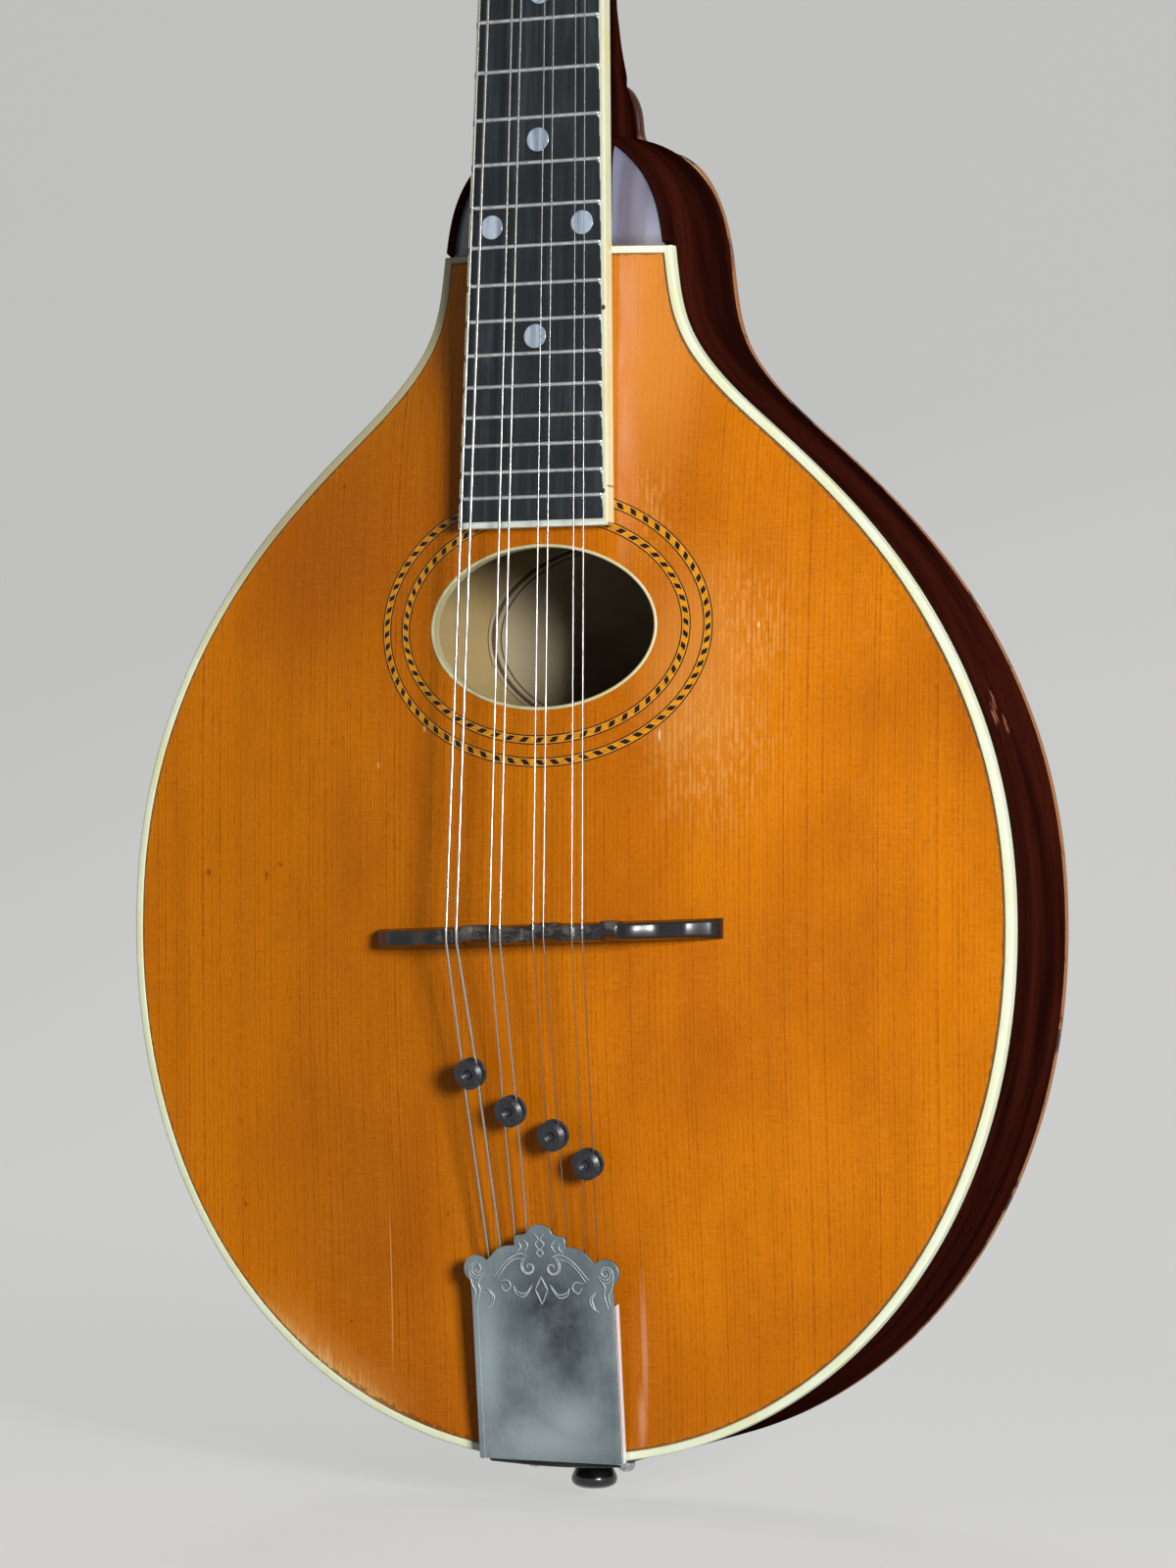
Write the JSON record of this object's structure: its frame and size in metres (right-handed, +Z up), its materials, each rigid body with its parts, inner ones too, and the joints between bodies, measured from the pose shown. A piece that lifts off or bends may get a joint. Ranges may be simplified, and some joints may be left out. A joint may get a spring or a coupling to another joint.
{
  "type": "a-style mandolin",
  "caption": "Carved teardrop mandolin with an oval sound hole, paired strings over a one-piece bridge, a slide-on tailpiece cover and geared tuners on a plain headstock.",
  "frame": {"origin": "middle of the nut's front line, at the depth of the soundboard's edge, where a wall hanger's fork holds the neck", "axes": "+Z up the neck to the headstock, -Y out of the soundboard towards the player, +X to the thin strings' side"},
  "size_m": [0.25, 0.0811, 0.6516],
  "materials": {
    "spruce_top": "aged amber lacquer, rubbed and scratched",
    "red_brown_wood": "dark red-brown gloss lacquer",
    "shoulder_wood": "dark satin lacquer",
    "raw_spruce": "bare wood",
    "cream_binding": "aged cream celluloid",
    "rope_inlay": "black and amber rope marquetry",
    "paper_label": "aged paper",
    "ebony": "worn black wood",
    "bone": "polished bone",
    "nickel": "dulled nickel plate",
    "pin_black": "polished black",
    "black_rubber": "matte black",
    "wound_string": "wound bronze",
    "plain_string": "plain steel",
    "tuner_metal": "aged nickel on brass",
    "tuner_button": "aged ivory-coloured plastic"
  },
  "bodies": {
    "root": {"soundboard": "spruce_top", "back": "red_brown_wood", "ribs": "red_brown_wood", "neck": "red_brown_wood", "head_block": "shoulder_wood", "tail_block": "raw_spruce", "lining_front_bass": "raw_spruce", "lining_front_treble": "raw_spruce", "lining_back_bass": "raw_spruce", "lining_back_treble": "raw_spruce", "top_brace": "raw_spruce", "top_binding": "cream_binding", "soundhole_binding": "cream_binding", "fingerboard_binding": "cream_binding", "rosette_inner": "rope_inlay", "rosette_outer": "rope_inlay", "label": "paper_label", "headstock_veneer": "ebony", "fingerboard": "ebony", "bridge": "ebony", "nut": "bone", "tailpiece_base": "nickel", "bracket_screw_bass": "nickel", "bracket_screw_treble": "nickel", "end_pin": "pin_black", "grommet_g": "black_rubber", "grommet_d": "black_rubber", "grommet_a": "black_rubber", "grommet_e": "black_rubber", "string_g1": "wound_string", "string_g2": "wound_string", "string_d1": "wound_string", "string_d2": "wound_string", "string_a1": "plain_string", "string_a2": "plain_string", "string_e1": "plain_string", "string_e2": "plain_string", "tuner_plate_bass": "tuner_metal", "tuner_plate_treble": "tuner_metal"},
    "tailpiece_cover": {"tailpiece_cover": "nickel"},
    "tuner_key_bass_1": {"tuner_key_bass_1": "tuner_button"},
    "tuner_post_bass_1": {"tuner_post_bass_1": "tuner_metal"},
    "tuner_key_bass_2": {"tuner_key_bass_2": "tuner_button"},
    "tuner_post_bass_2": {"tuner_post_bass_2": "tuner_metal"},
    "tuner_key_bass_3": {"tuner_key_bass_3": "tuner_button"},
    "tuner_post_bass_3": {"tuner_post_bass_3": "tuner_metal"},
    "tuner_key_bass_4": {"tuner_key_bass_4": "tuner_button"},
    "tuner_post_bass_4": {"tuner_post_bass_4": "tuner_metal"},
    "tuner_key_treble_1": {"tuner_key_treble_1": "tuner_button"},
    "tuner_post_treble_1": {"tuner_post_treble_1": "tuner_metal"},
    "tuner_key_treble_2": {"tuner_key_treble_2": "tuner_button"},
    "tuner_post_treble_2": {"tuner_post_treble_2": "tuner_metal"},
    "tuner_key_treble_3": {"tuner_key_treble_3": "tuner_button"},
    "tuner_post_treble_3": {"tuner_post_treble_3": "tuner_metal"},
    "tuner_key_treble_4": {"tuner_key_treble_4": "tuner_button"},
    "tuner_post_treble_4": {"tuner_post_treble_4": "tuner_metal"}
  },
  "joints": [
    {"name": "tailpiece_cover_slide", "type": "slide", "parent": "root", "child": "tailpiece_cover", "axis": [0, 0.1172, -0.9931], "range_m": [0, 0.062]},
    {"name": "tuner_key_bass_1_turn", "type": "hinge", "parent": "root", "child": "tuner_key_bass_1", "pos_m": [-0.0185, 0.02748, 0.04488], "axis": [-1, 0, 0], "continuous": true},
    {"name": "tuner_post_bass_1_turn", "type": "hinge", "parent": "root", "child": "tuner_post_bass_1", "pos_m": [-0.0185, 0.00915, 0.04314], "axis": [0, -0.9659, 0.2588], "continuous": true},
    {"name": "tuner_key_bass_2_turn", "type": "hinge", "parent": "root", "child": "tuner_key_bass_2", "pos_m": [-0.0185, 0.03343, 0.0671], "axis": [-1, 0, 0], "continuous": true},
    {"name": "tuner_post_bass_2_turn", "type": "hinge", "parent": "root", "child": "tuner_post_bass_2", "pos_m": [-0.0185, 0.01511, 0.06535], "axis": [0, -0.9659, 0.2588], "continuous": true},
    {"name": "tuner_key_bass_3_turn", "type": "hinge", "parent": "root", "child": "tuner_key_bass_3", "pos_m": [-0.0185, 0.03939, 0.08932], "axis": [-1, 0, 0], "continuous": true},
    {"name": "tuner_post_bass_3_turn", "type": "hinge", "parent": "root", "child": "tuner_post_bass_3", "pos_m": [-0.0185, 0.02106, 0.08757], "axis": [0, -0.9659, 0.2588], "continuous": true},
    {"name": "tuner_key_bass_4_turn", "type": "hinge", "parent": "root", "child": "tuner_key_bass_4", "pos_m": [-0.0185, 0.04534, 0.11153], "axis": [-1, 0, 0], "continuous": true},
    {"name": "tuner_post_bass_4_turn", "type": "hinge", "parent": "root", "child": "tuner_post_bass_4", "pos_m": [-0.0185, 0.02701, 0.10979], "axis": [0, -0.9659, 0.2588], "continuous": true},
    {"name": "tuner_key_treble_1_turn", "type": "hinge", "parent": "root", "child": "tuner_key_treble_1", "pos_m": [0.0185, 0.02748, 0.04488], "axis": [1, 0, 0], "continuous": true},
    {"name": "tuner_post_treble_1_turn", "type": "hinge", "parent": "root", "child": "tuner_post_treble_1", "pos_m": [0.0185, 0.00915, 0.04314], "axis": [0, -0.9659, 0.2588], "continuous": true},
    {"name": "tuner_key_treble_2_turn", "type": "hinge", "parent": "root", "child": "tuner_key_treble_2", "pos_m": [0.0185, 0.03343, 0.0671], "axis": [1, 0, 0], "continuous": true},
    {"name": "tuner_post_treble_2_turn", "type": "hinge", "parent": "root", "child": "tuner_post_treble_2", "pos_m": [0.0185, 0.01511, 0.06535], "axis": [0, -0.9659, 0.2588], "continuous": true},
    {"name": "tuner_key_treble_3_turn", "type": "hinge", "parent": "root", "child": "tuner_key_treble_3", "pos_m": [0.0185, 0.03939, 0.08932], "axis": [1, 0, 0], "continuous": true},
    {"name": "tuner_post_treble_3_turn", "type": "hinge", "parent": "root", "child": "tuner_post_treble_3", "pos_m": [0.0185, 0.02106, 0.08757], "axis": [0, -0.9659, 0.2588], "continuous": true},
    {"name": "tuner_key_treble_4_turn", "type": "hinge", "parent": "root", "child": "tuner_key_treble_4", "pos_m": [0.0185, 0.04534, 0.11153], "axis": [1, 0, 0], "continuous": true},
    {"name": "tuner_post_treble_4_turn", "type": "hinge", "parent": "root", "child": "tuner_post_treble_4", "pos_m": [0.0185, 0.02701, 0.10979], "axis": [0, -0.9659, 0.2588], "continuous": true}
  ],
  "couplings": [
    {"joint": "tuner_post_bass_1_turn", "follows": "tuner_key_bass_1_turn", "ratio": -0.071429},
    {"joint": "tuner_post_bass_2_turn", "follows": "tuner_key_bass_2_turn", "ratio": -0.071429},
    {"joint": "tuner_post_bass_3_turn", "follows": "tuner_key_bass_3_turn", "ratio": -0.071429},
    {"joint": "tuner_post_bass_4_turn", "follows": "tuner_key_bass_4_turn", "ratio": -0.071429},
    {"joint": "tuner_post_treble_1_turn", "follows": "tuner_key_treble_1_turn", "ratio": 0.071429},
    {"joint": "tuner_post_treble_2_turn", "follows": "tuner_key_treble_2_turn", "ratio": 0.071429},
    {"joint": "tuner_post_treble_3_turn", "follows": "tuner_key_treble_3_turn", "ratio": 0.071429},
    {"joint": "tuner_post_treble_4_turn", "follows": "tuner_key_treble_4_turn", "ratio": 0.071429}
  ]
}
